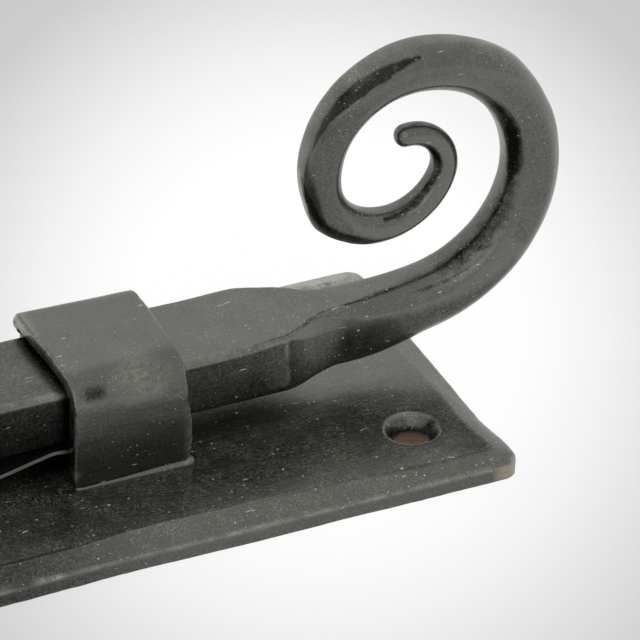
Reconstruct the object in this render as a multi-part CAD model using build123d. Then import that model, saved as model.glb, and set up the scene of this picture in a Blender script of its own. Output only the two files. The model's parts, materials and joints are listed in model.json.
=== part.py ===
from build123d import *
import math
import os

os.makedirs("parts", exist_ok=True)

# A hand-forged door bolt with a scrolled tail, in millimetres.
# The origin is the centre of the plate's back face, +X runs along the bolt to its scroll
# and +Z points off the door.

# Back plate
plate_length = 152.0
plate_width = 44.0
plate_thickness = 3.15
plate_corner_radius = 1.3
bevel_width = 2.8
bevel_drop = 1.15
bevel_corner_radius = 0.6

# Screw holes, one in each corner of the plate
hole_end_distance = 8.5
hole_side_distance = 9.5
hole_diameter = 4.3
countersink_diameter = 6.6
countersink_depth = 1.0

# Sliding bar
bar_width = 12.7
bar_height = 7.05
bar_corner_radius = 0.7
bar_over_plate = 4.4
bar_past_staple = 13.4
nose_overhang = 18.0
nose_bevel_length = 2.2
nose_bevel_inset = 1.1

# Staples, straps bent over the bar
staple_end_distance = 41.4
strap_width = 13.5
strap_thickness = 1.9
staple_side_clearance = 0.85
staple_top_clearance = 0.5
inner_bend_radius = 1.6
near_bend_radius_nose_edge = 3.6
near_bend_radius_tail_edge = 5.0
far_bend_radius_nose_edge = 3.1
far_bend_radius_tail_edge = 4.2
tenon_width = 7.5
tenon_head_depth = 0.9
tenon_head_spread = 0.6

# Neck, where the flat bar is drawn in to the round tail
neck_length = 8.7
neck_waist_share = 0.64
neck_end_rounding = 0.475
tail_root_diameter = 7.85

# Scroll, as bends of one radius each, from the neck to the tip
scroll_bends = [(52.0, 12.8), (16.1, 105.5), (14.6, 59.0), (11.75, 103.0), (7.85, 150.5), (4.5, 115.0)]
tail_flats = 12
tail_middle_diameter = 6.2
tail_tip_diameter = 2.6
taper_start_share = 0.55
section_spacing = 4.0
section_turn = 18.0

# Leaf spring under the bar
spring_side_clearance = 0.5
spring_thickness = 0.45
spring_clearance = 0.25
spring_crest_inset = 1.8
spring_bow_share = 0.9
spring_crest_radius = 5.0
spring_tip_turn = 12.0
spring_tip_length = 3.0

# Stop stud in the hidden side of the bar
stop_diameter = 4.0
stop_stand_out = 2.3
stop_depth = 6.0
stop_edge_break = 0.5
throw_left = 10.0
stop_clearance = 0.3

# Places that follow from the sizes above
bar_underside = plate_thickness + bar_over_plate
bar_middle = bar_underside + bar_height / 2
staple_x = plate_length / 2 - staple_end_distance
staple_inner_x = staple_x - strap_width / 2
staple_outer_x = staple_x + strap_width / 2
inner_half_width = bar_width / 2 + staple_side_clearance
outer_half_width = inner_half_width + strap_thickness
inner_top = bar_underside + bar_height + staple_top_clearance
outer_top = inner_top + strap_thickness
shoulder_x = staple_outer_x + bar_past_staple
neck_end_x = shoulder_x + neck_length
nose_x = -plate_length / 2 - nose_overhang
stop_x = -staple_inner_x + stop_clearance + stop_diameter / 2 + throw_left


def upright_plane(x):
    """The plane across the bolt at x, with its own x along the plate's width and its y upward."""
    return Plane(origin=(x, 0, 0), x_dir=(0, 1, 0), z_dir=(1, 0, 0))


def tenon(y):
    """A staple's foot through the plate, hammered out at the back into a flared slot."""
    shank = Pos(staple_x, y, tenon_head_depth) * Box(
        tenon_width, strap_thickness, plate_thickness - tenon_head_depth,
        align=(Align.CENTER, Align.CENTER, Align.MIN))
    head = loft([
        Pos(staple_x, y, tenon_head_depth) * Rectangle(tenon_width, strap_thickness),
        Pos(staple_x, y, 0) * Rectangle(
            tenon_width + 2 * tenon_head_spread, strap_thickness + 2 * tenon_head_spread),
    ])
    return shank + head


def tenons():
    """Both feet of the staple at the tail end."""
    middle_of_leg = inner_half_width + strap_thickness / 2
    return tenon(middle_of_leg) + tenon(-middle_of_leg)


def arch(x, half_width, top, near_radius, far_radius):
    """The upright outline of an arch that stands on the plate, with its two top corners bent."""
    outline = Rectangle(2 * half_width, top - plate_thickness, align=(Align.CENTER, Align.MIN))
    near_corner, far_corner = outline.vertices().group_by(Axis.Y)[-1].sort_by(Axis.X)
    outline = fillet(near_corner, near_radius)
    far_corner = outline.vertices().sort_by_distance((half_width, top - plate_thickness))[0]
    return upright_plane(x) * Pos(0, plate_thickness) * fillet(far_corner, far_radius)


def staple():
    """The staple at the tail end: a strap whose tail edge is bent softer than its nose edge."""
    body = loft([
        arch(staple_inner_x, outer_half_width, outer_top,
             near_bend_radius_nose_edge, far_bend_radius_nose_edge),
        arch(staple_outer_x, outer_half_width, outer_top,
             near_bend_radius_tail_edge, far_bend_radius_tail_edge),
    ], ruled=True)
    opening = extrude(
        arch(staple_inner_x, inner_half_width, inner_top, inner_bend_radius, inner_bend_radius),
        strap_width)
    return body - opening + tenons()


def screw_hole():
    """A countersunk hole at the centre, cut down through the plate."""
    through = Cylinder(hole_diameter / 2, plate_thickness, align=(Align.CENTER, Align.CENTER, Align.MIN))
    sink = Pos(0, 0, plate_thickness - countersink_depth) * Cone(
        hole_diameter / 2, countersink_diameter / 2, countersink_depth,
        align=(Align.CENTER, Align.CENTER, Align.MIN))
    return through + sink


def backplate():
    """The plate with its bevel, its four screw holes and the slots for the staples' feet."""
    outline = RectangleRounded(plate_length, plate_width, plate_corner_radius)
    flat = RectangleRounded(
        plate_length - 2 * bevel_width, plate_width - 2 * bevel_width, bevel_corner_radius)
    rim_height = plate_thickness - bevel_drop
    plate = extrude(outline, rim_height)
    plate += loft([Pos(0, 0, rim_height) * outline, Pos(0, 0, plate_thickness) * flat], ruled=True)
    corners = GridLocations(
        plate_length - 2 * hole_end_distance, plate_width - 2 * hole_side_distance, 2, 2)
    plate -= corners * screw_hole()
    plate -= tenons()
    plate -= mirror(tenons(), Plane.YZ)
    return plate


def bar_section(plane, width, height, corner_radius):
    """A cross-section of the forging, as a rounded rectangle."""
    return plane * RectangleRounded(width, height, corner_radius)


def bar_plane(x):
    """The plane across the bar at x, centred in its height."""
    return upright_plane(x) * Pos(0, bar_middle)


def neck_section(share):
    """The neck's cross-section at a share of its length, from the flat bar to the round tail."""
    drawn = min(share / neck_waist_share, 1)
    narrowing = drawn ** 2 * (3 - 2 * drawn)
    width = bar_width + (tail_root_diameter - bar_width) * narrowing
    height = bar_height + (tail_root_diameter - bar_height) * share
    end_corner = neck_end_rounding * tail_root_diameter
    corner = bar_corner_radius + (end_corner - bar_corner_radius) * share ** 2
    return bar_section(bar_plane(shoulder_x + share * neck_length), width, height, corner)


def tail_diameter(share):
    """The drawn-out tail's thickness at a share of its length, from the neck to the tip."""
    if share < taper_start_share:
        drawn = math.sin(math.pi / 2 * share / taper_start_share)
        return tail_root_diameter + (tail_middle_diameter - tail_root_diameter) * drawn
    drawn = (share - taper_start_share) / (1 - taper_start_share)
    return tail_middle_diameter + (tail_tip_diameter - tail_middle_diameter) * drawn


def tail_section(plane, diameter):
    """The tail's cross-section: round, but with the hammer's flats left on it."""
    corner_radius = diameter / 2 / math.sqrt(math.cos(math.pi / tail_flats))
    return plane * RegularPolygon(corner_radius, tail_flats)


def scroll():
    """The tail, lofted through sections along the bends and closed by a rounded tip."""
    with BuildLine(Plane.XZ) as route:
        Line((neck_end_x - 1, bar_middle), (neck_end_x, bar_middle))
        for radius, turn in scroll_bends:
            JernArc(start=route.line @ 1, tangent=route.line % 1, radius=radius, arc_size=turn)
    bends = route.edges()[1:]
    whole = sum(edge.length for edge in bends)
    planes = []
    diameters = []
    done = 0.0
    for edge, (_, turn) in zip(bends, scroll_bends):
        steps = math.ceil(max(turn / section_turn, edge.length / section_spacing))
        for step in range(steps):
            share = step / steps
            planes.append(Plane(origin=edge @ share, x_dir=(0, 1, 0), z_dir=edge % share))
            diameters.append(tail_diameter((done + share * edge.length) / whole))
        done += edge.length
    tip = Plane(origin=bends[-1] @ 1, x_dir=(0, 1, 0), z_dir=bends[-1] % 1)
    tip_radius = tail_tip_diameter / 2
    for angle in (0, 30, 55, 75):
        planes.append(tip.offset(tip_radius * math.sin(math.radians(angle))))
        diameters.append(tail_tip_diameter * math.cos(math.radians(angle)))
    return loft([tail_section(plane, diameter) for plane, diameter in zip(planes, diameters)])


def bolt_bar():
    """The forging: bevelled nose, flat bar with the stud's hole, neck, tail and scroll."""
    nose = loft([
        bar_section(bar_plane(nose_x), bar_width - 2 * nose_bevel_inset,
                    bar_height - 2 * nose_bevel_inset, bar_corner_radius),
        bar_section(bar_plane(nose_x + nose_bevel_length), bar_width, bar_height, bar_corner_radius),
    ], ruled=True)
    flat = extrude(
        bar_section(bar_plane(nose_x + nose_bevel_length), bar_width, bar_height, bar_corner_radius),
        shoulder_x - nose_x - nose_bevel_length)
    neck = loft([neck_section(share) for share in (0, 0.15, 0.3, 0.45, neck_waist_share, 0.82, 1)])
    return nose + flat + neck + scroll() - stop_hole()


def stop_cylinder(inner_y, outer_y):
    """A round cross-wise stretch of the stud or of its hole."""
    middle = (stop_x, inner_y, bar_middle)
    return Plane(origin=middle, z_dir=(0, 1, 0)) * Cylinder(
        stop_diameter / 2, outer_y - inner_y, align=(Align.CENTER, Align.CENTER, Align.MIN))


def stop_hole():
    """The blind hole in the bar's hidden side that the stud is driven into."""
    return stop_cylinder(bar_width / 2 - stop_depth, bar_width / 2)


def stop_pin():
    """The stud, with the edge of its outer end broken."""
    outer_y = bar_width / 2 + stop_stand_out
    stud = stop_cylinder(bar_width / 2 - stop_depth, outer_y)
    outer_rim = stud.edges().sort_by(Axis.Y)[-1]
    return chamfer(outer_rim, stop_edge_break)


def leaf_spring():
    """The bowed strip: its middle rests on the plate, it rises to the bar by each staple, and its tips turn down.

    The bow's radius is a share of the one that would leave no straight run between bow and crest.
    """
    middle_z = plate_thickness + spring_thickness / 2
    rise = bar_underside - spring_clearance - spring_thickness / 2 - middle_z
    run = staple_inner_x - spring_crest_inset
    bow_radius = spring_bow_share * run ** 2 / (2 * rise)
    both_radii = bow_radius + spring_crest_radius
    straight = math.sqrt(run ** 2 + rise ** 2 - 2 * rise * both_radii)
    slope = math.degrees(math.atan2(run, both_radii - rise) - math.atan2(straight, both_radii))
    with BuildLine(Plane.XZ) as half:
        JernArc((0, middle_z), (1, 0), bow_radius, slope)
        Line(half.line @ 1, half.line @ 1 + (half.line % 1) * straight)
        JernArc(half.line @ 1, half.line % 1, spring_crest_radius, -slope - spring_tip_turn)
        Line(half.line @ 1, half.line @ 1 + (half.line % 1) * spring_tip_length)
    section = Plane(origin=(0, 0, middle_z), x_dir=(0, 1, 0), z_dir=(1, 0, 0)) * Rectangle(
        2 * (inner_half_width - spring_side_clearance), spring_thickness)
    tail_half = sweep(section, path=half.wire())
    return tail_half + mirror(tail_half, Plane.YZ)


nodes = {
    "backplate": backplate(),
    "tail_staple": staple(),
    "nose_staple": mirror(staple(), Plane.YZ),
    "bolt_bar": bolt_bar(),
    "stop_pin": stop_pin(),
    "leaf_spring": leaf_spring(),
}
for name, shape in nodes.items():
    export_step(shape, f"parts/{name}.step")
    print(name, round(shape.volume, 1), shape.bounding_box())
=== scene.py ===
import json
import math

import bmesh
import bpy
import numpy as np
from mathutils import Matrix, Vector, noise


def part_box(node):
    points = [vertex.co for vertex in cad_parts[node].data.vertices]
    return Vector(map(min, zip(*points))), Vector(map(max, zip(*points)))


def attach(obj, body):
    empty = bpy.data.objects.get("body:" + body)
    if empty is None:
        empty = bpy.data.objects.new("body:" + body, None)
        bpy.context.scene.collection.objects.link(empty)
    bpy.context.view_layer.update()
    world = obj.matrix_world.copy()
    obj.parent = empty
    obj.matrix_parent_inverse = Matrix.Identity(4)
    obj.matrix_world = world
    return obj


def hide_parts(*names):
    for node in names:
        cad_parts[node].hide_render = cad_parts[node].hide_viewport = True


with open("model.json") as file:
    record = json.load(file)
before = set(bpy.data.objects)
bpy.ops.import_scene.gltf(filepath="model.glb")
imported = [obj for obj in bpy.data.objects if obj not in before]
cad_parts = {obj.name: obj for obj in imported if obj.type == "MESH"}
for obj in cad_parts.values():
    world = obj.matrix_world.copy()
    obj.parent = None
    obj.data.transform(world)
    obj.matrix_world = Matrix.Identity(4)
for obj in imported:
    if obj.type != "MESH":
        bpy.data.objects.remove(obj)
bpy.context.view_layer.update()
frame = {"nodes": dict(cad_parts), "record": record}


# The back plate. Cut from 3 mm flat iron, its four edges hammered down to a bevel on the anvil,
# drilled and countersunk for four wood screws, then blackened and waxed. It is screwed to the door.
mm = 0.001
plate_high = Vector(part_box("backplate")[1])
plate_half_length, plate_half_width, plate_top = plate_high
plate_rim = plate_top - 1.15 * mm
plate_bevel = 2.8 * mm
plate_corner = 2.0 * mm

screws = next(mount["dims"] for mount in frame["record"]["mounts"] if mount["name"] == "screw_holes")
screw_x = screws["spacing_x_mm"] / 2 * mm
screw_y = screws["spacing_y_mm"] / 2 * mm
bore_radius = screws["hole_r_mm"] * mm
sink_radius = 3.3 * mm
sink_depth = 1.15 * mm
sink_throat = 1.45 * mm


def knocks(point, span, depth, seed=0.0):
    """Hammer marks: shallow hollows about a span across and up to a depth deep."""
    return depth * noise.noise(Vector(point) / span + Vector((seed, -seed, 0.5 * seed)))


def soft_less(a, b, blend):
    """The lesser of two heights, with the edge between them worn round over a blend."""
    h = max(blend - abs(a - b), 0.0) / blend
    return min(a, b) - h * h * blend / 4


def eased(value):
    """A share from 0 to 1, eased in and out."""
    value = min(1.0, max(0.0, value))
    return value * value * (3 - 2 * value)


def from_hole(x, y):
    """How far a place on the plate is from the middle of the nearest screw hole."""
    return math.hypot(abs(x) - screw_x, abs(y) - screw_y)


def plate_surface(x, y):
    """A point of the plate's worked front for a place on its rectangular blank."""
    end_gap = plate_half_length - abs(x)
    side_gap = plate_half_width - abs(y)
    corner_x = max(0.0, 1 - end_gap / plate_corner)
    corner_y = max(0.0, 1 - side_gap / plate_corner)
    px = math.copysign(plate_half_length - plate_corner + plate_corner * corner_x
                       * math.sqrt(1 - corner_y ** 2 / 2), x) if corner_x > 0 else x
    py = math.copysign(plate_half_width - plate_corner + plate_corner * corner_y
                       * math.sqrt(1 - corner_x ** 2 / 2), y) if corner_y > 0 else y
    blunt, blend = 1.0, 0.05 * mm
    if x > 0 and y < 0:
        away = eased(math.hypot(end_gap, side_gap) / (21 * mm))
        blunt = 0.45 + 0.55 * away
        blend += 1.3 * mm * (1 - away)
    side_bevel = plate_bevel * blunt * (1 + knocks((x, y * 0.2, 0), 14 * mm, 0.30, 3.0 if y > 0 else 8.0))
    end_bevel = plate_bevel * blunt * (1 + knocks((x * 0.2, y, 0), 11 * mm, 0.30, 5.0 if x > 0 else 11.0))
    rim = plate_rim + knocks((px, py, 0), 26 * mm, 0.35 * mm, 1.0)
    side_slope = rim + (plate_top - rim) * side_gap / side_bevel
    end_slope = rim + (plate_top - rim) * end_gap / end_bevel
    z = soft_less(soft_less(side_slope, end_slope, 0.3 * mm + blend), plate_top, blend)
    arris = max(0.0, 1 - min(end_gap, side_gap) / (0.22 * mm))
    z -= 0.12 * mm * arris ** 2
    gap = from_hole(x, y)
    if gap < sink_radius + 0.4 * mm:
        dish = plate_top - sink_depth * max(0.0, 1 - (gap / sink_radius) ** 2) ** 0.85
        throat = min(sink_throat, max(0.0, bore_radius + sink_throat - gap))
        dish -= sink_throat - math.sqrt(sink_throat ** 2 - throat ** 2)
        z = min(z, dish + 0.02 * mm)
    z += knocks((px, py, 0), 9 * mm, 0.07 * mm) + knocks((px, py, 0), 2.6 * mm, 0.016 * mm, 4.0)
    rim_wander = knocks((px, py, 0), 22 * mm, 0.22 * mm, 7.0)
    rim_wander += knocks((px, py, 0), 3.5 * mm, 0.06 * mm, 2.0)
    rim_wander += knocks((px, py, 0), 1.1 * mm, 0.05 * mm, 9.0)
    near_rim = max(0.0, 1 - min(end_gap, side_gap) / (3 * mm))
    if side_gap < end_gap:
        py += math.copysign(rim_wander * near_rim, y)
    else:
        px += math.copysign(rim_wander * near_rim, x)
    if y < 0:
        swell = eased((30 * mm - x) / (24 * mm)) * eased((x + 40 * mm) / (30 * mm))
        py -= 0.6 * mm * swell * eased((-y - 10 * mm) / (12 * mm))
        px += 0.85 * mm * eased((x - 64 * mm) / (12 * mm)) * eased((-y - 12 * mm) / (7.5 * mm))
    else:
        px += 0.3 * mm * eased((x - 66 * mm) / (10 * mm)) * eased((y - 10 * mm) / (10 * mm))
        py += 0.35 * mm * eased((x - 62 * mm) / (11 * mm)) * eased((y - 14 * mm) / (8 * mm))
    return px, py, z


def ruled_lines(half, hole_at):
    """Places across the plate, close together at its rim, its bevel's ridge and its screw holes."""
    at, lines = -half, []
    while at < half - 0.05 * mm:
        lines.append(at)
        gap = half - abs(at + 0.05 * mm)
        if gap < 0.5 * mm:
            at += 0.11 * mm
        elif 1.5 * mm < gap < 3.9 * mm:
            at += 0.2 * mm
        elif abs(abs(at) - hole_at) < 3.9 * mm:
            at += 0.24 * mm
        else:
            at += 0.5 * mm
    return [*lines, half]


def new_object(name, data):
    """An object made of its data, and put in the scene."""
    thing = bpy.data.objects.new(name, data)
    bpy.context.scene.collection.objects.link(thing)
    return thing


def new_piece(name, vertices, faces):
    """A piece of the object, smooth-shaded, from its points and faces."""
    mesh = bpy.data.meshes.new(name)
    mesh.from_pydata([tuple(v) for v in vertices], [], [tuple(f) for f in faces])
    mesh.validate()
    bm = bmesh.new()
    bm.from_mesh(mesh)
    bmesh.ops.recalc_face_normals(bm, faces=bm.faces)
    bm.to_mesh(mesh)
    bm.free()
    mesh.shade_smooth()
    return new_object(name, mesh)


def forge_plate():
    """The plate's blank as one closed skin: worked front, four edges and flat back."""
    xs = ruled_lines(plate_half_length, screw_x)
    ys = ruled_lines(plate_half_width, screw_y)
    nx, ny = len(xs), len(ys)
    vertices = [plate_surface(x, y) for x in xs for y in ys]
    faces = []
    for i in range(nx - 1):
        for j in range(ny - 1):
            a = i * ny + j
            faces.append((a, a + ny, a + ny + 1, a + 1))
    rim = [i * ny for i in range(nx)]
    rim += [(nx - 1) * ny + j for j in range(1, ny)]
    rim += [i * ny + ny - 1 for i in range(nx - 2, -1, -1)]
    rim += [j for j in range(ny - 2, 0, -1)]
    above = rim
    for step in (0.1, 0.3, 0.5, 0.7, 0.94, 1.0):
        below = list(range(len(vertices), len(vertices) + len(rim)))
        for r in rim:
            x, y, z = vertices[r]
            bulge = 1 + knocks((x, y, step * 2 * mm), 3 * mm, 0.0012) if step < 1 else 1
            vertices.append((x * bulge, y * bulge, z * (1 - step)))
        for k in range(len(rim)):
            n = (k + 1) % len(rim)
            faces.append((above[k], above[n], below[n], below[k]))
        above = below
    faces.append(tuple(reversed(above)))
    return new_piece("plate", vertices, faces)


def cut_from(piece, cutters):
    """Takes the cutters out of a piece and throws them away."""
    for cutter in cutters:
        cut = piece.modifiers.new("cut", "BOOLEAN")
        cut.operation = "DIFFERENCE"
        cut.solver = "EXACT"
        cut.object = cutter
    evaluated = piece.evaluated_get(bpy.context.evaluated_depsgraph_get())
    cut_mesh = bpy.data.meshes.new_from_object(evaluated)
    piece.modifiers.clear()
    piece.data = cut_mesh
    cut_mesh.set_sharp_from_angle(angle=math.radians(48))
    for cutter in cutters:
        bpy.data.objects.remove(cutter)


def cutter(shape, place, **sizes):
    """A body to take out of the plate, such as a drill's path down through it."""
    bm = bmesh.new()
    shape(bm, matrix=place, **sizes)
    mesh = bpy.data.meshes.new("cutter")
    bm.to_mesh(mesh)
    bm.free()
    return new_object("cutter", mesh)


strap_thickness = 1.9 * mm
strap_gap = 0.85 * mm
staple_middle_x = sum(corner[0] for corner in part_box("tail_staple")) / 2
staple_side_y = Vector(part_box("bolt_bar")[1]).y + strap_gap + strap_thickness / 2
slot_length, slot_width, slot_depth = 8.1 * mm, 2.4 * mm, 0.9 * mm
slot_size = Matrix.Diagonal((slot_length, slot_width, 2 * slot_depth, 1))
plate = forge_plate()
drills = [cutter(bmesh.ops.create_cone, Matrix.Translation((x, y, 0)), cap_ends=True, segments=56,
                 radius1=bore_radius, radius2=bore_radius, depth=12 * mm)
          for x in (-screw_x, screw_x) for y in (-screw_y, screw_y)]
slots = [cutter(bmesh.ops.create_cube, Matrix.Translation((x, y, 0)) @ slot_size, size=1.0)
         for x in (-staple_middle_x, staple_middle_x) for y in (-staple_side_y, staple_side_y)]
cut_from(plate, drills + slots)
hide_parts("backplate")
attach(plate, "plate")


def paint(piece, mark, amount, *by_point):
    """Lays a mark on a piece, such as wear: each point's amount, by its place and what else is given."""
    layer = piece.data.attributes.new(mark, "FLOAT", "POINT")
    amounts = [amount(vertex.co, *more) for vertex, *more in zip(piece.data.vertices, *by_point)]
    layer.data.foreach_set("value", [min(1.0, max(0.0, given)) for given in amounts])


def spot(point, centre, reach):
    """How much of a patch a point has: 1 at its centre and 0 at its reach."""
    away = (Vector(point) - Vector(centre)).length / reach
    return max(0.0, 1 - away) ** 0.7


def plate_wear(point):
    """The wax rubs off the rim's arris, and off the rims of the screw holes."""
    gap = min(plate_half_length - abs(point.x), plate_half_width + 0.2 * mm - abs(point.y))
    height = abs(point.z - plate_rim + 0.05 * mm)
    edge = 1 - max(gap / (0.45 * mm), height / (0.5 * mm))
    from_rim = abs(from_hole(point.x, point.y) - sink_radius + 0.1 * mm)
    ring = 0.5 * (1 - from_rim / (0.3 * mm)) if point.z > 2.5 * mm else 0
    # A broad paler band along the far tail corner.
    if point.x > 60 * mm and point.y > 17 * mm:
        far_corner = eased((point.x - 60 * mm) / (5 * mm)) * eased((point.y - 16.5 * mm) / (2 * mm))
        edge = max(edge, 1.8 * far_corner)
    return max(0.75 * edge, ring, 0.0) * (0.75 + knocks(point, 1.3 * mm, 0.9, 6.0))


def plate_shade(point):
    """Painted shade on the plate: on its edges, its near bevel to the left, beside and under the bar, and in
    the sinks.
    """
    painted_shade_share = 0.38 + 0.3 * eased((38 * mm - point.x) / (26 * mm)) if point.y < 0 else 0.52
    edge = painted_shade_share * eased((plate_rim - 0.1 * mm - point.z) / (0.25 * mm))
    bevel = 0.0
    if point.y < -19 * mm and point.z > plate_rim - 0.15 * mm:
        bevel = 0.6 * eased((40 * mm - point.x) / (26 * mm))
    beside = 0.66 * eased((9 * mm - abs(point.y)) / (6 * mm)) * eased((64 * mm - point.x) / (12 * mm))
    sink = 0.6 * spot(point, (screw_x + 2.5 * mm, 0.9 * mm - screw_y, 2.0 * mm), 1.5 * mm)
    if from_hole(point.x, point.y) < sink_radius - 0.1 * mm and point.z < plate_top - 0.1 * mm:
        sink = max(sink, 0.42 * eased((point.y + screw_y + 0.5 * mm) / (1.5 * mm)))
    return max(edge, bevel, beside, sink)


def bare_patches(point):
    """Bright iron where the plate's near tail corner has been handled, and a paler band along its far tail
    edge.
    """
    near_corner = Vector((plate_half_length - 0.4 * mm, -plate_half_width - 0.2 * mm, 0.9 * mm))
    patch = 1.3 * spot(point, near_corner, 2.4 * mm) if point.z < 1.75 * mm else 0
    far_edge = eased((point.x - 60 * mm) / (5 * mm)) * eased((point.y - 19.0 * mm) / (2.0 * mm))
    return max(patch, 0.45 * far_edge * (0.75 + knocks(point, 1.6 * mm, 1.2, 3.0)))


back_skin = 0.05 * mm
# On the plate the black mark is painted shade.
for mark, amount in (("worn", plate_wear), ("bare", bare_patches), ("black", plate_shade)):
    paint(plate, mark, lambda point: amount(point) if point.z >= back_skin else 0.0)


class Finish:
    """A material being mixed: its nodes, and short ways to add and join them."""

    def __init__(self, name, surface="ShaderNodeBsdfPrincipled"):
        self.material = bpy.data.materials.new(name)
        self.material.use_nodes = True
        self.tree = self.material.node_tree
        self.tree.nodes.clear()
        self.surface = self.add(surface)
        self.join(self.surface.outputs[0], self.add("ShaderNodeOutputMaterial").inputs["Surface"])
        self.place = self.scaled(self.add("ShaderNodeTexCoord").outputs["Object"], (1000, 1000, 1000))

    def add(self, kind, **settings):
        node = self.tree.nodes.new(kind)
        for key, value in settings.items():
            setattr(node, key, value)
        return node

    def join(self, source, target):
        self.tree.links.new(source, target)

    def feed(self, socket, value):
        if isinstance(value, bpy.types.NodeSocket):
            self.join(value, socket)
        else:
            socket.default_value = value

    def parts(self, vector):
        node = self.add("ShaderNodeSeparateXYZ")
        self.join(vector, node.inputs[0])
        return node.outputs

    def scaled(self, vector, scale, turn=(0, 0, 0)):
        node = self.add("ShaderNodeMapping")
        self.feed(node.inputs["Vector"], vector)
        node.inputs["Scale"].default_value = scale
        node.inputs["Rotation"].default_value = turn
        return node.outputs["Vector"]

    def cloud(self, scale, detail, rough, place=None):
        node = self.add("ShaderNodeTexNoise")
        self.feed(node.inputs["Vector"], place or self.place)
        node.inputs["Scale"].default_value = scale
        node.inputs["Detail"].default_value = detail
        node.inputs["Roughness"].default_value = rough
        return node.outputs["Fac"]

    def cells(self, scale, place=None, output="Distance"):
        node = self.add("ShaderNodeTexVoronoi")
        self.feed(node.inputs["Vector"], place or self.place)
        node.inputs["Scale"].default_value = scale
        return node.outputs[output]

    def picks(self, scale, place=None):
        node = self.add("ShaderNodeSeparateColor")
        self.join(self.cells(scale, place, "Color"), node.inputs[0])
        return node.outputs

    def figure(self, operation, a, b=0.0, c=0.0):
        node = self.add("ShaderNodeMath", operation=operation)
        for socket, value in zip(node.inputs, (a, b, c)):
            self.feed(socket, value)
        return node.outputs[0]

    def times(self, a, b):
        return self.figure("MULTIPLY", a, b)

    def plus(self, a, b):
        return self.figure("ADD", a, b)

    def span(self, value, low, high, to_low=0.0, to_high=1.0):
        node = self.add("ShaderNodeMapRange", interpolation_type="SMOOTHSTEP")
        for key, given in (("Value", value), ("From Min", low), ("From Max", high),
                           ("To Min", to_low), ("To Max", to_high)):
            self.feed(node.inputs[key], given)
        return node.outputs["Result"]

    def tint(self, share, a, b):
        node = self.add("ShaderNodeMix", data_type="RGBA")
        self.feed(node.inputs["Factor"], share)
        for socket, colour in zip(node.inputs[6:8], (a, b)):
            self.feed(socket, (*colour, 1.0) if isinstance(colour, tuple) else colour)
        return node.outputs[2]

    def mark(self, name, kind="Fac"):
        return self.add("ShaderNodeAttribute", attribute_name=name).outputs[kind]

    def facing(self, axis):
        return self.parts(self.add("ShaderNodeNewGeometry").outputs["Normal"])[axis]

    def specks(self, scale, size, share):
        """Specks of dust: small round spots of several sizes, in some of the cells."""
        pick = self.picks(scale)
        size = self.figure("MULTIPLY_ADD", pick[1], 1.1 * size * scale, 0.35 * size * scale)
        near = self.span(self.figure("SUBTRACT", self.cells(scale), size), -0.04, 0.03, 1.0, 0.0)
        near = self.times(near, self.span(pick[2], 0.1, 1.0, 0.12, 1.0))
        return self.times(near, self.figure("LESS_THAN", pick[0], share))

    def fibres(self, turn, share, length=0.45):
        """Short bent fibres lying one way round."""
        bend = self.add("ShaderNodeVectorMath", operation="ADD")
        wander = self.add("ShaderNodeTexNoise")
        for socket in (bend.inputs[0], wander.inputs["Vector"]):
            self.join(self.place, socket)
        wander.inputs["Scale"].default_value = 0.42
        curl = self.add("ShaderNodeVectorMath", operation="SCALE")
        self.join(wander.outputs["Color"], curl.inputs[0])
        curl.inputs["Scale"].default_value = 1.1
        self.join(curl.outputs[0], bend.inputs[1])
        place = self.scaled(bend.outputs[0], (length, 4.0, 4.0), turn)
        near = self.span(self.cells(0.5, place), 0.11, 0.17, 1.0, 0.0)
        return self.times(near, self.figure("LESS_THAN", self.picks(0.5, place)[1], share))


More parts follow.
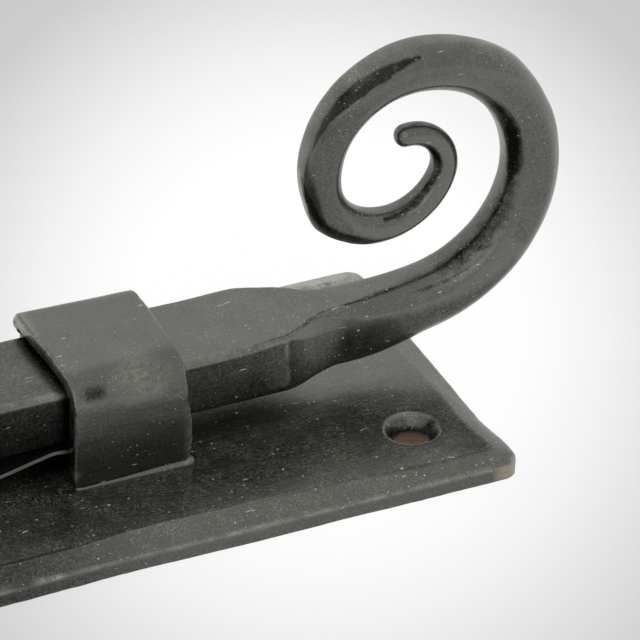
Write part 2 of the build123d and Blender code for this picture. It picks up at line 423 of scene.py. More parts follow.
def waxed_iron(name, dust=1.0, film=1.0, run=False):
    """Blackened iron under wax: scale-black, finely brushed and dusty; worn, and painted with shade, dark
    reflections and highlights, where it is marked.
    """
    f = Finish(name)
    lengthwise = f.mark("run", "Vector") if run else f.place
    brush = f.cloud(1.0, 4.0, 0.6, f.scaled(lengthwise, (0.11, 2.6, 2.6)))
    mottle = f.cloud(0.16, 4.0, 0.6)
    grain = f.cloud(3.4, 4.0, 0.68)
    fine = f.cloud(8.0, 2.0, 0.6)
    black = f.tint(f.span(mottle, 0.36, 0.64), (0.0028, 0.0030, 0.0026), (0.0055, 0.0058, 0.0050))

    facing_up = f.facing("Z")
    upward = f.span(facing_up, -0.3, 0.9, 0.35, 1.0)
    patches = f.span(f.cloud(0.3, 5.0, 0.65), 0.36, 0.66, 0.35, 1.0)
    flour = f.cloud(4.6, 3.0, 0.78)
    powder = f.span(f.plus(f.times(flour, 0.7), f.times(fine, 0.3)), 0.45, 0.66, 0.0, 0.5 * film)
    haze = f.times(f.times(patches, upward), powder)
    tawny = f.tint(f.span(f.cloud(0.45, 2.0, 0.5), 0.42, 0.62), (0.20, 0.20, 0.17), (0.228, 0.21, 0.162))
    coloured = f.tint(haze, black, tawny)

    specks = f.plus(f.specks(0.62, 0.12, 0.42 * dust), f.specks(1.25, 0.085, 0.5 * dust))
    specks = f.plus(specks, f.specks(2.3, 0.055, 0.55 * dust))
    fibres = f.plus(f.fibres((0.3, 0.2, 0.5), 0.035 * dust), f.fibres((-0.4, 0.7, -1.2), 0.035 * dust))
    fibres = f.plus(fibres, f.fibres((0.2, -0.5, 1.9), 0.03 * dust, 0.7))
    lint = f.times(f.plus(specks, fibres), f.span(facing_up, -0.6, 0.5, 0.35, 1.0))
    lint = f.times(lint, f.span(f.cloud(0.2, 3.0, 0.6), 0.38, 0.62, 0.3, 1.15))
    lint = f.figure("MINIMUM", lint, 0.8)
    # The black mark is painted shade and painted dark reflection: it darkens the colour and dims the
    # reflection.
    shade = f.mark("black")
    painted_shade_share = f.span(f.figure("MULTIPLY_ADD", f.figure("SUBTRACT", grain, 0.5), 0.8, shade), 0.06, 0.94)
    painted_shade_share = f.times(painted_shade_share, f.span(shade, 0.0, 0.08))
    coloured = f.tint(painted_shade_share, coloured, (0.008, 0.008, 0.009))
    coloured = f.tint(lint, coloured, (0.58, 0.57, 0.48))

    # The worn mark is wear, and in places a painted highlight.
    worn = f.times(f.mark("worn"), f.span(grain, 0.35, 0.6, 0.2, 1.0))
    coloured = f.tint(f.times(worn, 0.85), coloured, (0.46, 0.45, 0.40))
    bare = f.times(f.mark("bare"), f.span(grain, 0.3, 0.6, 0.45, 1.0))
    coloured = f.tint(bare, coloured, (0.30, 0.25, 0.18))
    rust = f.times(f.mark("rust"), f.span(grain, 0.3, 0.62, 0.5, 1.0))
    coloured = f.tint(rust, coloured, (0.16, 0.055, 0.022))
    f.join(coloured, f.surface.inputs["Base Color"])

    gloss = f.plus(f.span(brush, 0.3, 0.7, 0.23, 0.30), f.times(lint, 0.3))
    gloss = f.figure("SUBTRACT", gloss, f.times(painted_shade_share, 0.05))
    f.join(gloss, f.surface.inputs["Roughness"])
    metal_share = f.times(f.figure("MAXIMUM", worn, bare), 0.5)
    shade_dimmed_reflection = f.times(painted_shade_share, f.span(grain, 0.3, 0.62, 0.78, 0.92))
    shade_dimmed_reflection = f.times(shade_dimmed_reflection, f.figure("SUBTRACT", 1.0, lint))
    f.join(f.figure("MAXIMUM", metal_share, shade_dimmed_reflection), f.surface.inputs["Metallic"])
    f.surface.inputs["IOR"].default_value = 2.2
    f.surface.inputs["Specular Tint"].default_value = (0.98, 1.0, 0.90, 1.0)

    relief = f.plus(f.times(grain, 0.55), f.times(brush, 0.35))
    relief = f.plus(relief, f.times(fine, 0.18))
    relief = f.plus(relief, f.times(lint, 0.5))
    bump = f.add("ShaderNodeBump")
    bump.inputs["Strength"].default_value = 0.5
    bump.inputs["Distance"].default_value = 0.035 * mm
    f.join(relief, bump.inputs["Height"])
    f.join(bump.outputs["Normal"], f.surface.inputs["Normal"])
    return f


def rust_bores(f):
    """Rust low on the walls of the plate's screw holes, mixed over the finish's own colour."""
    own = f.surface.inputs["Base Color"].links[0].from_socket
    at = f.parts(f.add("ShaderNodeTexCoord").outputs["Object"])
    aside = [f.figure("SUBTRACT", f.figure("ABSOLUTE", at[axis]), middle)
             for axis, middle in (("X", screw_x), ("Y", screw_y))]
    gap = f.figure("SQRT", f.plus(*(f.times(a, a) for a in aside)))
    inside = f.span(gap, bore_radius + 0.1 * mm, bore_radius + 0.5 * mm, 1.0, 0.0)
    low = f.span(at["Z"], 0.2 * mm, 1.2 * mm, 1.0, 0.0)
    f.join(f.tint(f.times(inside, low), own, (0.15, 0.055, 0.023)), f.surface.inputs["Base Color"])


def finish_with(piece, finish):
    """Gives a piece one finish all over."""
    piece.data.materials.clear()
    piece.data.materials.append(finish.material)


plate_finish = waxed_iron("waxed_plate_iron", dust=1.05, film=1.9)
rust_bores(plate_finish)
finish_with(plate, plate_finish)


# The two staples. Each is a strap of 1.9 mm iron bent hot round the bar, its feet drawn to tenons that
# pass through the plate and are hammered over at the back. The bend is softer at one edge of the strap.
strap_low, strap_high = (Vector(corner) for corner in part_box("tail_staple"))
bar_low, bar_high = (Vector(corner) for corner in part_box("bolt_bar"))
strap_half = 0.5 * (strap_high.x - strap_low.x)
strap_outer = bar_high.y + strap_gap + strap_thickness
strap_edge_round = 0.4 * mm
near_bends = (3.6 * mm, 5.0 * mm)
far_bends = (2.1 * mm, 3.0 * mm)
inner_bends = (1.6 * mm, 0.6 * mm)
strap_steps = 180
bead_top = plate_top + 0.9 * mm


def arch_line(half_width, top, near_bend, far_bend, share):
    """A point on the strap's line over the bar, from the near foot over the top to the far foot."""
    foot = plate_top - 0.3 * mm
    near_leg, top_start, top_end, far_leg = 0.26, 0.40, 0.60, 0.74
    if share < near_leg:
        return -half_width, foot + (top - near_bend - foot) * share / near_leg
    if share < top_start:
        turn = math.pi / 2 * (share - near_leg) / (top_start - near_leg)
        return near_bend * (1 - math.cos(turn)) - half_width, top - near_bend * (1 - math.sin(turn))
    if share < top_end:
        along = (share - top_start) / (top_end - top_start)
        return near_bend - half_width + (2 * half_width - near_bend - far_bend) * along, top
    if share < far_leg:
        turn = math.pi / 2 * (share - top_end) / (far_leg - top_end)
        return half_width - far_bend * (1 - math.sin(turn)), top - far_bend * (1 - math.cos(turn))
    return half_width, top - far_bend - (top - far_bend - foot) * (share - far_leg) / (1 - far_leg)


def quarter(count, first=0):
    """Turns that step evenly through a quarter of a circle."""
    return [math.pi / 2 * k / count for k in range(first, count)]


def strap_section():
    """The strap's cross-section: (share of width from -1 to 1, share of thickness from 0 to 1)."""
    flat, r = strap_half - strap_edge_round, strap_edge_round
    outline = [(-flat + 2 * flat * k / 20, strap_thickness) for k in range(20)]
    outline += [(flat + r * math.sin(turn), strap_thickness - r + r * math.cos(turn)) for turn in quarter(7)]
    outline += [(strap_half, strap_thickness - r - (strap_thickness - 2 * r) * k / 4) for k in range(4)]
    outline += [(flat + r * math.cos(turn), r - r * math.sin(turn)) for turn in quarter(7)]
    outline += [(-across, strap_thickness - depth) for across, depth in outline]
    return [(across / strap_half, depth / strap_thickness) for across, depth in outline]


def closed_tube(rings):
    """Points and faces of a solid made of rings of points, closed at both ends."""
    around = len(rings[0])
    vertices = [point for ring in rings for point in ring]
    faces = []
    for i in range(len(rings) - 1):
        for j in range(around):
            k = (j + 1) % around
            faces.append((i * around + j, i * around + k, (i + 1) * around + k, (i + 1) * around + j))
    faces.append(tuple(range(around - 1, -1, -1)))
    faces.append(tuple(range((len(rings) - 1) * around, len(rings) * around)))
    return vertices, faces


def forge_strap(name, middle, seed):
    """One staple: its strap, the wax that has run round its feet, and its tenons' heads at the back."""
    side = math.copysign(1, middle)
    section = strap_section()
    rings = []
    for step in range(strap_steps + 1):
        share = step / strap_steps
        ring = []
        for across, depth in section:
            edge = 0.5 + 0.5 * across
            near_bend = near_bends[0] + (near_bends[1] - near_bends[0]) * edge
            far_bend = far_bends[0] + (far_bends[1] - far_bends[0]) * edge
            oy, oz = arch_line(strap_outer, strap_high.z, near_bend, far_bend, share)
            iy, iz = arch_line(strap_outer - strap_thickness, strap_high.z - strap_thickness,
                               *inner_bends, share)
            y, z = iy + (oy - iy) * depth, iz + (oz - iz) * depth
            x = middle + side * across * strap_half
            place = Vector((x, y, z))
            by_stop = eased((y - 5 * mm) / (1.5 * mm)) * eased((14.8 * mm - z) / (1.2 * mm))
            edgeward = abs(across) ** 6 * (1 - 0.8 * by_stop)
            x += side * across * edgeward * (knocks(place, 5 * mm, 0.20 * mm, seed)
                                             + knocks(place, 1.1 * mm, 0.09 * mm, seed + 2)
                                             + knocks(place, 0.5 * mm, 0.05 * mm, seed + 4))
            if across < 0:
                flare = 0.5 * mm + 0.3 * mm * eased((y + 2 * mm) / (9 * mm))
                x -= side * across * across * flare * (1 - by_stop)
            if across > 0 and y < 0:
                low_leg = eased((z - 3 * mm) / (3 * mm)) * eased((13 * mm - z) / (5 * mm))
                x += side * edgeward * 0.4 * mm * low_leg
            swell = knocks(place, 5 * mm, 0.06 * mm, seed + 5) + knocks(place, 1.6 * mm, 0.012 * mm, seed)
            y += swell * (1 if y > 0 else -1)
            z += swell if z > plate_top + 2 * mm else 0
            ring.append((x, y, z))
        rings.append(ring)
    vertices, faces = closed_tube(rings)
    for way in (-1, 1):
        for part in (wax_bead(middle, side, way), tenon_head(middle, way)):
            more_vertices, more_faces = closed_tube(part)
            faces += [tuple(len(vertices) + v for v in face) for face in more_faces]
            vertices += more_vertices
    strap = new_piece(name, vertices, faces)
    strap.data.set_sharp_from_angle(angle=math.radians(60))
    return strap


def wax_bead(middle, side, way):
    """The thin bead of wax that has run round the outside of a strap's foot."""
    corner = 0.5 * mm
    flat, side_y = strap_half - corner, strap_outer - corner
    path = [(-strap_half - corner, strap_outer - 1.7 * mm + 1.25 * mm * k / 8) for k in range(9)]
    path += [(-flat - (corner + 0.55 * mm) * math.cos(turn), side_y + (corner + 0.1 * mm) * math.sin(turn))
             for turn in quarter(6, 1)]
    path += [(-flat + 2 * flat * k / 32, strap_outer + 0.1 * mm) for k in range(33)]
    path += [(flat + (corner + 0.15 * mm) * math.sin(turn), side_y + (corner + 0.15 * mm) * math.cos(turn))
             for turn in quarter(6, 1)]
    path += [(strap_half + 0.15 * mm, side_y - 1.2 * mm * k / 8) for k in range(9)]
    rings = []
    for k, (x, y) in enumerate(path):
        before, after = path[max(k - 1, 0)], path[min(k + 1, len(path) - 1)]
        heading = math.atan2(after[1] - before[1], after[0] - before[0])
        fade = min(1.0, 6 * k / len(path), 6 * (len(path) - 1 - k) / len(path)) * 0.8 + 0.2
        share = k / len(path)
        thick = 0.2 + 0.26 * eased((share - 0.25) / 0.45) + knocks((x, y, 0), 4 * mm, 0.05, 5.0)
        thick = fade * (thick + 0.24 * math.exp(-((share - 0.80) / 0.05) ** 2)) * mm
        ring = []
        for j in range(10):
            turn = 2 * math.pi * j / 10
            out = thick * math.cos(turn)
            ring.append((middle + side * (x - math.sin(heading) * out), way * (y + math.cos(heading) * out),
                         plate_top - 0.02 * mm + 1.5 * thick * math.sin(turn)))
        rings.append(ring)
    return rings


def tenon_head(middle, way):
    """The end of a foot's tenon, hammered over in its slot and dressed off level with the plate's back."""
    rings = []
    for level, less in ((0.85, 0.05), (0.25, 0.0), (0.05, 0.08), (0.02, 0.3)):
        ring = []
        for k in range(48):
            turn = 2 * math.pi * k / 48
            c, s = math.cos(turn), math.sin(turn)
            reach = 1 / (abs(c) ** 14 + abs(s) ** 14) ** (1 / 14)
            x = middle + (slot_length / 2 - (0.15 + less) * mm) * reach * c
            y = way * staple_side_y + (slot_width / 2 - (0.15 + less) * mm) * reach * s
            ring.append((x + knocks((x, y, 0), 1.5 * mm, 0.06 * mm, 2.0), y, level * mm))
        rings.append(ring)
    return rings


def strap_wear(middle):
    """The strap's edges are rubbed, most of all on the nose side of its far bend, and nicked."""
    def amount(point):
        if point.z < bead_top:
            return 0.0
        nose_side = point.x < middle
        rim = strap_half + (0.62 * mm if nose_side else 0.0)
        edge = max(0.0, (abs(point.x - middle) - rim + 0.42 * mm) / (0.42 * mm))
        chips = 0.75 * eased((point.y + 1 * mm) / (4 * mm)) if nose_side and point.z > 12 * mm else 0.0
        if nose_side and point.x < middle - rim + 0.12 * mm:
            edge *= 0.3
        scuffed = 0.3 * spot(point, (middle + 1 * mm, -7.6 * mm, 15.6 * mm), 4 * mm) * (point.z > 13 * mm)
        return max(edge * (0.38 + chips), scuffed) * (1 + knocks(point, 0.5 * mm, 1.2, 2.0))
    return amount


def strap_painted_shade_and_patch(middle, nose_edge):
    """Painted shade low on the strap's sides and on its nose end, and a dark patch on its near bend."""
    def amount(point):
        low = (0.44 + 0.1 * eased((9 * mm - point.z) / (4 * mm))) * eased((15.2 * mm - point.z) / (2.2 * mm))
        if point.z < bead_top:
            low *= eased((strap_outer + 0.12 * mm - abs(point.y)) / (0.1 * mm))
        end = 0.85 * eased((nose_edge - 0.25 * mm - point.x) / (0.25 * mm)) if point.z < 16.2 * mm else 0.0
        patch = 0.0
        for dx in (-0.5, 0.0, 0.6):
            patch = max(patch, 0.8 * spot(point, (middle - (4.6 - dx) * mm, -8.5 * mm, 15.2 * mm), 1.3 * mm))
        return max(low, end, patch)
    return amount


strap_iron = waxed_iron("waxed_strap_iron", dust=1.1)
for node, label, seed in (("tail_staple", "tail_strap", 1.0), ("nose_staple", "nose_strap", 21.0)):
    low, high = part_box(node)
    middle = (low[0] + high[0]) / 2
    nose_edge = middle - strap_half
    chafed = (nose_edge - 0.5 * mm, 0.5 * mm - strap_outer, 5.1 * mm)
    rusted = (middle + 4.6 * mm, -7.6 * mm, 15.8 * mm)
    strap = forge_strap(label, middle, seed)
    paint(strap, "worn", strap_wear(middle))
    paint(strap, "bare", lambda point: 0.9 * spot(point, chafed, 0.8 * mm))
    paint(strap, "rust", lambda point: 0.3 * spot(point, rusted, 1.0 * mm))
    paint(strap, "black", strap_painted_shade_and_patch(middle, nose_edge))
    finish_with(strap, strap_iron)
    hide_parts(node)
    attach(strap, "plate")


# The leaf spring. A strip of thin blued spring steel laid bowed under the bar, held by the staples' feet
# at its sides. It keeps the bar where it is put, and its cut edges are pale.
steel = Finish("blued_spring_steel")
steel_grain = steel.cloud(1.0, 4.0, 0.6, steel.scaled(steel.place, (0.2, 3.0, 3.0)))
cut_edge = steel.span(steel.figure("ABSOLUTE", steel.facing("Y")), 0.4, 0.8)
steel.join(steel.tint(cut_edge, (0.05, 0.052, 0.055), (0.38, 0.37, 0.345)), steel.surface.inputs["Base Color"])
steel.join(steel.span(steel_grain, 0.3, 0.7, 0.25, 0.45), steel.surface.inputs["Roughness"])
steel.surface.inputs["Metallic"].default_value = 0.9
finish_with(frame["nodes"]["leaf_spring"], steel)


# The bolt bar. One forging: a flat bar, fullered in at the neck, its tail drawn out round under the hammer
# and rolled into a scroll over the horn. It slides in the staples, and wears bright along its top edges;
# it also carries painted highlights, painted shade and painted dark reflections.
bar_half_width = bar_high.y
bar_height = 7.05 * mm
bar_middle = plate_top + 4.4 * mm + bar_height / 2
nose_x = bar_low.x
nose_bevel = 2.2 * mm
nose_inset = 1.1 * mm
shoulder_x = strap_high.x + 13.4 * mm
neck_length = 8.7 * mm
neck_end_x = shoulder_x + neck_length
tail_root = 7.85 * mm
tail_middle = 6.2 * mm
tail_tip = 2.6 * mm
taper_start = 0.55
scroll_bends = [(52.0 * mm, 12.8), (16.1 * mm, 105.5), (14.6 * mm, 59.0), (11.75 * mm, 103.0),
                (7.85 * mm, 150.5), (4.5 * mm, 115.0)]
scroll_length = sum(radius * math.radians(turn) for radius, turn in scroll_bends)


def scroll_place(along):
    """The tail's middle and its heading at a distance from the neck, in the upright plane."""
    x, z, heading = neck_end_x, bar_middle, 0.0
    for radius, turn in scroll_bends:
        stretch = min(along, radius * math.radians(turn))
        turned = stretch / radius
        x += radius * (math.sin(heading + turned) - math.sin(heading))
        z += radius * (math.cos(heading) - math.cos(heading + turned))
        heading += turned
        along -= stretch
        if along <= 0:
            break
    return x, z, heading


def tail_thickness(share):
    """The tail's thickness at a share of its length."""
    if share < taper_start:
        return tail_root + (tail_middle - tail_root) * math.sin(math.pi / 2 * share / taper_start)
    return tail_middle + (tail_tip - tail_middle) * (share - taper_start) / (1 - taper_start)


arris_turns = [corner + lean for corner in (40, 140, 220, 320) for lean in np.arange(-22, 22, 1.6)]
flat_turns = [*range(-14, 18, 6), *range(66, 118, 7), *range(166, 198, 6), *range(246, 298, 7)]
section_turns = np.radians(sorted([*arris_turns, *flat_turns]))


def bar_ring(x, z, heading, sides, crisp):
    """One ring of the forging, square to its heading: flats at (turn, distance), knocked by the hammer."""
    total = np.zeros(len(section_turns))
    for facing, distance in sides:
        total += (np.maximum(np.cos(section_turns - math.radians(facing)), 0) / distance * mm) ** crisp
    reach = total ** (-1 / crisp) * mm

    def place(turn, out):
        up = out * math.sin(turn)
        return x - math.sin(heading) * up, out * math.cos(turn), z + math.cos(heading) * up

    ring = []
    for turn, out in zip(section_turns, reach):
        even = place(turn, out)
        out += knocks(even, 7 * mm, 0.09 * mm, 3.0) + knocks(even, 2.2 * mm, 0.02 * mm, 9.0)
        ring.append(place(turn, out))
    return ring


def corner_flat(turn, arris, height):
    """A corner flat facing a turn, that meets the flat above or below at the arris."""
    lean = math.radians(turn)
    return turn, arris * abs(math.cos(lean)) + height * abs(math.sin(lean))


neck_x = np.array((44.0, 50.2, 53.0, 54.75, 56.0, 57.5, 59.0, 60.5, 62.0, 63.45)) * mm
neck_tables = {
    "far": np.array((6.45, 6.55, 6.55, 6.35, 5.85, 5.15, 4.55, 4.10, 3.93, 3.93)) * mm,
    "far_arris": np.array((6.38, 6.48, 6.44, 5.85, 5.25, 4.60, 3.70, 2.40, 1.85, 1.66)) * mm,
    "far_low": np.array((6.00, 6.00, 5.95, 5.80, 5.30, 4.60, 3.90, 3.20, 2.65, 2.47)) * mm,
    "near": np.array((6.35, 6.28, 6.00, 5.94, 5.51, 4.83, 3.93, 3.49, 3.44, 3.42)) * mm,
    "near_turn": np.array((180, 178, 174, 172, 171.5, 171, 171, 172, 175, 180)),
    "near_arris": np.array((5.15, 5.30, 5.35, 5.29, 4.85, 4.10, 3.10, 2.60, 2.52, 2.49)) * mm,
    "near_low": np.array((5.95, 5.95, 5.95, 5.95, 5.60, 4.90, 4.10, 3.45, 2.95, 2.82)) * mm,
    "edge_turn": np.array((107, 113, 126, 135, 135, 135, 135, 135, 135, 135)),
}


outer_knocks = [(0, 0), (0.05, 0.25), (0.12, 0.42), (0.22, 0.42), (0.28, 0.25), (0.34, 0.2), (0.375, 0.05),
                (0.40, 0.1), (0.425, 0.35), (0.45, 0.3), (0.48, 0.1), (0.51, 0), (0.69, 0), (0.73, -0.1),
                (0.755, 0.45), (0.785, 0), (0.84, 0)]
grain_radius = 4.0  # in mm: the finish's grain runs along the bar as if it were a rod this thick
nose_steps, flat_steps, neck_steps, tail_steps = 4, 180, 70, 280


def forge_bar():
    """The bar's rings from nose to tail tip, with each point's place along and across the forging."""
    rings, runs = [], []

    def add_ring(along, x, z, heading, sides, crisp):
        rings.append(bar_ring(x, z, heading, sides, crisp))
        runs.extend((1000 * along, grain_radius * math.cos(turn), grain_radius * math.sin(turn))
                    for turn in section_turns)

    upright = bar_height / 2
    for step in range(nose_steps):
        inset = nose_inset * (1 - step / nose_steps)
        width = bar_half_width - inset
        corners = [corner_flat(turn, width - 0.5 * mm, upright - inset) for turn in (45, 135, 225, 315)]
        add_ring(nose_x, nose_x + nose_bevel * step / nose_steps, bar_middle, 0.0,
                 [(0, width), (90, upright - inset), (180, width), (270, upright - inset), *corners], 40)
    flat = neck_x[0] - nose_x - nose_bevel
    for step in range(flat_steps):
        x = nose_x + nose_bevel + flat * step / flat_steps
        rubbed = (0.5 + 0.7 * eased((x - 28 * mm) / (14 * mm))) * mm + knocks((x, 0, 0), 6 * mm, 0.3 * mm)
        width = bar_half_width
        far = width + 0.1 * mm
        add_ring(x, x, bar_middle, 0.0,
                 [(0, far), (90, upright), (180, width), (270, upright),
                  corner_flat(45, far - 0.07 * mm, upright), corner_flat(107, width - rubbed, upright),
                  corner_flat(225, width - 0.4 * mm, upright),
                  corner_flat(315, width - 0.35 * mm, upright)], 70)
    for step in range(neck_steps):
        x = neck_x[0] + (neck_end_x - neck_x[0]) * step / neck_steps
        drawn = max(0.0, (x - shoulder_x) / neck_length)
        at = {name: float(np.interp(x, neck_x, table)) for name, table in neck_tables.items()}
        height = (bar_height + (tail_root - bar_height) * drawn) / 2
        add_ring(x, x, bar_middle, 0.0,
                 [(0, at["far"]), (90, height), (at["near_turn"], at["near"]), (270, height),
                  corner_flat(45, at["far_arris"], height),
                  corner_flat(at["edge_turn"], at["near_arris"], height),
                  corner_flat(225, at["near_low"], height), corner_flat(315, at["far_low"], height)],
                 70 - 20 * drawn)
    for step in range(tail_steps + 1):
        share = step / tail_steps
        along = scroll_length * share
        x, z, heading = scroll_place(along)
        half = tail_thickness(share) / 2
        root = 1 - eased(along / (13 * mm))
        scallop = 1 - eased(along / (2.6 * mm))
        even = (math.sqrt(2) - 1) * half
        arris = even + (2.47 * mm - even) * root
        belly = float(np.interp(share, *zip(*outer_knocks))) * mm
        add_ring(neck_end_x + along, x, z, heading,
                 [(0, half), (90, half), (180, half - 0.5 * mm * scallop), (270, half + belly),
                  corner_flat(45, even, half), corner_flat(135, arris, half),
                  corner_flat(225, arris + 0.35 * mm * root + belly, half),
                  corner_flat(315, arris + belly / 2, half)],
                 11 + 39 * root ** 2)
    for angle in (15, 30, 45, 60, 75, 85):
        lean = math.radians(angle)
        out = tail_tip / 2 * math.sin(lean)
        half = tail_tip / 2 * math.cos(lean)
        add_ring(neck_end_x + scroll_length, x + math.cos(heading) * out, z + math.sin(heading) * out, heading,
                 [(turn, half) for turn in range(0, 360, 45)], 11)
    piece = new_piece("bar", *closed_tube(rings))
    layer = piece.data.attributes.new("run", "FLOAT_VECTOR", "POINT")
    layer.data.foreach_set("vector", [c for run in runs for c in run])
    return piece, runs


bar, bar_runs = forge_bar()


def along_scroll(along, across, up):
    """A point's share of the scroll's length, and its degrees round the tail: 0 near side, 90 inside."""
    return (along * mm - neck_end_x) / scroll_length, math.degrees(math.atan2(up, -across))


def in_band(place, band, soft):
    """How far a place lies in a band along the scroll, given as (share, low turn, high turn) marks."""
    share, turn = place
    shares, lows, highs = zip(*band)
    if not shares[0] <= share <= shares[-1]:
        return 0.0
    low, high = float(np.interp(share, shares, lows)), float(np.interp(share, shares, highs))
    return min(1.0, max(0.0, 0.5 + min(turn - low, high - turn) / soft))


def strongest(place, bands):
    """The strongest of some bands at a place, each given as its strength, its softness and its marks."""
    return max(strength * in_band(place, band, soft) for strength, soft, band in bands)


def bar_wear_and_highlights(point, place):
    """The bar's long arrises rub on the staples; its near top arris, its shoulder's ridge and the outside of
    the scroll get painted highlights.
    """
    # A pale band painted along the outside of the scroll, standing in for its grazing highlight.
    if place[0] > 0:
        rubbed = 0.35 * in_band(place, [(0.08, -120, -60), (0.5, -120, -60), (0.95, -120, -62)], 30)
        return rubbed * (0.5 + knocks(point, 3 * mm, 1.4, 4.0))
    # A pale line painted along the shoulder's ridge as its highlight.
    ridge = 1 - abs(point.x - shoulder_x - 0.1 * mm) / (0.45 * mm)
    if point.y < -4 * mm and ridge > 0:
        return 0.34 * ridge * (0.5 + knocks(point, 1.2 * mm, 1.3, 8.0))
    drawn = max(0.0, (point.x - shoulder_x) / neck_length)
    half = (bar_height + (tail_root - bar_height) * drawn) / 2
    if drawn > 0:
        fold = -float(np.interp(point.x, neck_x, neck_tables["near_arris"]))
        line = 1 - math.hypot(point.y - fold, point.z - bar_middle - half) / (0.4 * mm)
        return 0.4 * max(0.0, line) * (0.7 + knocks(point, 1.5 * mm, 1.2, 8.0))
    # The near top chamfer is painted paler as wear and highlight, and brighter still left of the tail staple as
    # an arris highlight.
    if point.y < 0 and point.z > bar_middle:
        painted_arris_highlight = eased((28 * mm - point.x) / mm)
        strip = eased((-point.y - (5.0 + 0.5 * painted_arris_highlight) * mm) / (0.3 * mm))
        strip *= eased((point.z - bar_middle - 2.7 * mm) / (0.3 * mm))
        return strip * (0.20 + 0.1 * painted_arris_highlight) * (1 + knocks(point, 1.1 * mm, 1.6, 8.0))
    arris = max(0.0, 1 - max(bar_half_width - abs(point.y), half - abs(point.z - bar_middle)) / (0.42 * mm))
    return 0.4 * arris * (0.55 + knocks(point, 1.8 * mm, 1.1, 8.0))


# Dark streaks painted on the scroll, standing in for its dark reflections.
dark_reflection_streaks = (
    (1.0, 9, [(0.535, -50, -44), (0.555, -54, -32), (0.577, -59, -27), (0.600, -65, -29), (0.617, -66, -35),
              (0.638, -67, -46), (0.652, -63, -50), (0.668, -58, -54)]),
    (0.92, 20, [(0.300, 44, 80), (0.330, 38, 76), (0.345, 36, 72), (0.370, 33, 62), (0.400, 34, 52),
                (0.428, 36, 42)]),
    (0.60, 26, [(0.12, 56, 76), (0.16, 42, 80), (0.21, 36, 82), (0.264, 38, 84), (0.300, 44, 80)]),
    (1.0, 14, [(0.698, -86, -74), (0.712, -84, -54), (0.725, -76, -42), (0.742, -64, -36), (0.752, -54, -40)]),
    (0.6, 22, [(0.730, -66, -40), (0.757, -50, -22), (0.780, -34, -8), (0.805, -20, -4)]),
    (0.85, 16, [(0.82, 42, 52), (0.84, 38, 60), (0.869, 38, 66), (0.897, 42, 70), (0.915, 38, 62),
                (0.935, 28, 56), (0.955, 34, 62), (0.975, 44, 56)]),
    (0.8, 7, [(0.93, -46, -38), (0.95, -62, -52), (0.969, -82, -70), (0.984, -93, -82), (0.999, -84, -72)]),
    (0.75, 5, [(0.0, 55, 59), (0.037, 61, 66), (0.061, 62, 67), (0.085, 66, 71), (0.12, 63, 66)]),
    (0.5, 8, [(0.08, 44, 50), (0.133, 38, 44), (0.177, 34, 40), (0.21, 38, 44)]),
)
# Stretches of the scroll painted darker as shade: its near side by the neck, and its arcs.
painted_shade_bands = (
    (0.5, 24, [(-0.01, -80, 22), (0.06, -80, 22), (0.12, -80, 8), (0.2, -80, -20), (0.24, -80, -60)]),
    (0.33, 50, [(0.22, -40, 30), (0.30, -50, 50), (0.40, -40, 40), (0.46, -10, 10), (0.50, -20, 10),
                (0.56, -20, 20), (0.68, -40, 50), (0.74, -10, 20)]),
    (0.4, 45, [(0.60, -20, 20), (0.65, -70, 50), (0.73, -70, 50), (0.78, -30, 20)]),
)


def bar_painted_shade_and_reflections(point, place):
    """Painted shade and dark reflections on the bar: dark reflections as streaks on the scroll, shaded
    stretches of it, shade on the bar's near side, and a shadow by the tail staple.
    """
    streak = strongest(place, dark_reflection_streaks)
    if streak > 0.05:
        streak += knocks(point, 1.2 * mm, 0.3, 12.0) + knocks(point, 0.5 * mm, 0.2, 15.0)
    if point.x >= neck_end_x or point.z > 20 * mm:
        return max(streak, strongest(place, painted_shade_bands))
    near, fold = (float(np.interp(point.x, neck_x, neck_tables[name])) for name in ("near", "near_arris"))
    # A short dark line along the neck's near fold.
    if 57.2 * mm < point.x < 59.6 * mm and point.z > 14 * mm:
        streak = max(streak, 0.8 * (1 - abs(point.y + fold + 0.1 * mm) / (0.2 * mm)))
    # The near side is painted darker as shade, and the top is painted with a shadow at the tail staple's nose
    # edge that fades out under the strap.
    drawn = eased((point.x - shoulder_x) / (5 * mm))
    side = eased((-point.y - near + 0.75 * mm) / (0.5 * mm))
    side *= eased((bar_middle + (3.1 - 1.5 * drawn) * mm - point.z) / (0.4 * mm))
    shade = side * (0.80 - 0.18 * eased((point.x - 28 * mm) / (14 * mm)) - 0.16 * drawn)
    painted_staple_shadow = 0.38 + 0.34 * eased((point.x - 25.8 * mm) / (1.4 * mm))
    shade = max(shade, painted_staple_shadow * eased((strap_high.x - point.x) / (12 * mm)))
    return max(streak, shade + knocks(point, 4 * mm, 0.12, 12.0) * (shade > 0.05))


chafed_bands = ((1.0, 12, [(0.315, 92, 112), (0.335, 82, 124), (0.372, 76, 122), (0.395, 72, 100)]),
                (1.0, 10, [(0.695, -104, -88), (0.715, -112, -78), (0.745, -112, -64), (0.765, -90, -60)]))
rust_flecks = ((0.7, 10, [(0.390, 64, 90), (0.410, 64, 90)]), (0.7, 10, [(0.692, -80, -70), (0.702, -80, -70)]),
               (0.7, 10, [(0.755, -86, -72), (0.765, -86, -72)]))


def bar_bare(point, place):
    """Bright iron chafed inside the scroll and on its outer left, where it has been gripped."""
    return strongest(place, chafed_bands) * (0.9 + knocks(point, 1.1 * mm, 1.5, 6.0))


def bar_rust(point, place):
    """A fleck of rust at the end of the chafed place inside the scroll, and two on the one outside it."""
    return strongest(place, rust_flecks)


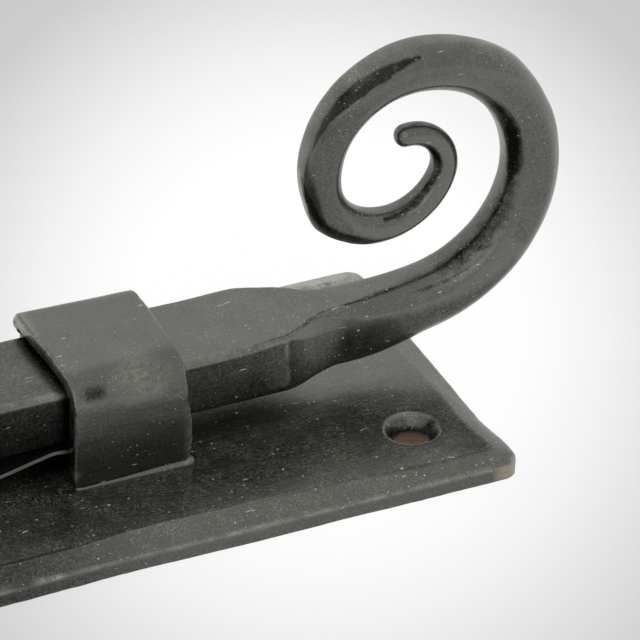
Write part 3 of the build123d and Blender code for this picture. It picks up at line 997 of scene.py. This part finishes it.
bar_places = [along_scroll(*run) for run in bar_runs]
for mark, amount in (("worn", bar_wear_and_highlights), ("bare", bar_bare), ("rust", bar_rust), ("black", bar_painted_shade_and_reflections)):
    paint(bar, mark, amount, bar_places)
finish_with(bar, waxed_iron("waxed_bar_iron", dust=1.1, film=1.5, run=True))
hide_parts("bolt_bar")
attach(bar, "bolt")


# The stop stud. A turned iron pin driven into the bar's hidden side, then blackened and waxed with it. It
# stops against a staple at either end of the bolt's travel.
finish_with(frame["nodes"]["stop_pin"], waxed_iron("waxed_stud_iron", dust=0.5))


# The camera, at the photograph's place. It stands low in front of the plate and to its left, and a long
# lens brings the tail close.
look_at = Vector((69.009, 16.518, 0)) * mm
camera_distance = 711.263 * mm
azimuth, elevation, roll = (math.radians(a) for a in (-24.565, 33.212, 0.826))
back = Vector((math.sin(azimuth) * math.cos(elevation), -math.cos(azimuth) * math.cos(elevation),
               math.sin(elevation)))
level_right = Vector((math.cos(azimuth), math.sin(azimuth), 0))
level_up = back.cross(level_right)
right = math.cos(roll) * level_right + math.sin(roll) * level_up
up = -math.sin(roll) * level_right + math.cos(roll) * level_up
camera_data = bpy.data.cameras.new("camera")
camera_data.sensor_width = 36
camera_data.lens = 337.5
camera = new_object("camera", camera_data)
placing = Matrix((right, up, back)).transposed().to_4x4()
placing.translation = look_at + back * camera_distance
camera.matrix_world = placing
bpy.context.scene.camera = camera


# The table. A wide sheet of pale paper that glows with painted light: white where the bolt lies and greyer away
# from it, a painted falloff. What a screw hole shows of it through the plate is painted dark as shadow, and
# rusty.
table_mesh = bpy.data.meshes.new("table")
table_half, table_z = 6.0, -0.0002
table_corners = ((-1, -1), (1, -1), (1, 1), (-1, 1))
table_points = [(x * table_half, y * table_half, table_z) for x, y in table_corners]
table_mesh.from_pydata(table_points, [], [(0, 1, 2, 3)])
table = new_object("table", table_mesh)

paper = Finish("pale_paper", "ShaderNodeMixShader")
position = paper.add("ShaderNodeNewGeometry").outputs["Position"]
frame_width = camera_distance * camera_data.sensor_width / camera_data.lens


def paper_way(operation, vector, given):
    """A vector of the paper's nodes, worked with a given one."""
    node = paper.add("ShaderNodeVectorMath", operation=operation)
    paper.join(vector, node.inputs[0])
    node.inputs[1].default_value = given
    return node.outputs


# The paper is painted paler toward the middle of the view and greyer away from it, a painted falloff of light.
from_middle = paper_way("SUBTRACT", position, look_at)["Vector"]
aside, upward = (paper_way("DOT_PRODUCT", from_middle, way / frame_width)["Value"] for way in (right, up))
distance = paper.figure("SQRT", paper.plus(paper.times(aside, aside), paper.times(upward, upward)))
fade = paper.add("ShaderNodeValToRGB")
paper.join(distance, fade.inputs[0])
painted_falloff_stops = [(0.30, 0.95), (0.364, 0.91), (0.447, 0.84), (0.553, 0.715), (0.685, 0.56), (0.9, 0.52)]
ramp = fade.color_ramp
while len(ramp.elements) < len(painted_falloff_stops):
    ramp.elements.new(0.5)
for element, (stop, level) in zip(ramp.elements, painted_falloff_stops):
    element.position = stop
    element.color = (level, level, level, 1)

ray = paper.add("ShaderNodeLightPath").outputs
mirrored = ray["Is Glossy Ray"]
place = paper.parts(position)
beyond = [paper.figure("GREATER_THAN", paper.figure("ABSOLUTE", place[axis]), half - 3 * mm)
          for axis, half in (("X", plate_half_length), ("Y", plate_half_width))]
# Under the plate the paper is painted dark as its shadow with a rusty tint, and grey in reflections.
rust_and_painted_shadow = paper.tint(paper.cloud(0.9, 2.0, 0.5), (0.020, 0.014, 0.010), (0.150, 0.078, 0.042))
painted_shadow_under_plate = paper.tint(mirrored, rust_and_painted_shadow, (0.30, 0.27, 0.24))
painted_glow_in_the_open = paper.tint(mirrored, fade.outputs["Color"], (0.84, 0.84, 0.84))
shown = paper.tint(paper.figure("MAXIMUM", *beyond), painted_shadow_under_plate, painted_glow_in_the_open)
seen = paper.figure("MAXIMUM", ray["Is Camera Ray"], mirrored)
seen = paper.figure("MAXIMUM", seen, ray["Is Transmission Ray"])
# To the camera and in reflections the paper glows with its painted colour, over a faint real shadow.
shadowed = paper.add("ShaderNodeAddShader")
paper.join(seen, paper.surface.inputs[0])
paper.join(shadowed.outputs[0], paper.surface.inputs[2])
for kind, colour, target in (("ShaderNodeBsdfDiffuse", (0.8, 0.8, 0.8, 1), paper.surface.inputs[1]),
                             ("ShaderNodeBsdfDiffuse", (0.06, 0.06, 0.06, 1), shadowed.inputs[0]),
                             ("ShaderNodeEmission", shown, shadowed.inputs[1])):
    layer = paper.add(kind)
    paper.feed(layer.inputs["Color"], colour)
    paper.join(layer.outputs[0], target)
finish_with(table, paper)


# The light. A pale tent all round, a broad soft lamp by the camera, and a weaker one on the far side that
# catches the tops of the edges.
world = bpy.data.worlds.new("room")
bpy.context.scene.world = world
world.use_nodes = True
room = world.node_tree
room_light = room.nodes["Background"]
room_light.inputs["Color"].default_value = (1.0, 1.0, 1.0, 1)
room_ray = room.nodes.new("ShaderNodeLightPath")
room_level = room.nodes.new("ShaderNodeMapRange")
room_level.inputs["To Min"].default_value = 0.8
room_level.inputs["To Max"].default_value = 0.68
room.links.new(room_ray.outputs["Is Glossy Ray"], room_level.inputs["Value"])
room.links.new(room_level.outputs["Result"], room_light.inputs["Strength"])


def soft_lamp(name, place, size, power):
    """A square soft lamp that faces the bolt's tail."""
    data = bpy.data.lights.new(name, "AREA")
    data.size = size
    data.energy = power
    lamp = new_object(name, data)
    lamp.location = place
    lamp.rotation_euler = (look_at - Vector(place)).to_track_quat("-Z", "Y").to_euler()


soft_lamp("far_lamp", (0.45, 0.75, 0.60), 0.8, 0.36)
soft_lamp("near_lamp", (-0.42, -0.91, 0.70), 1.0, 1.5)

bpy.context.scene.view_settings.view_transform = "Standard"
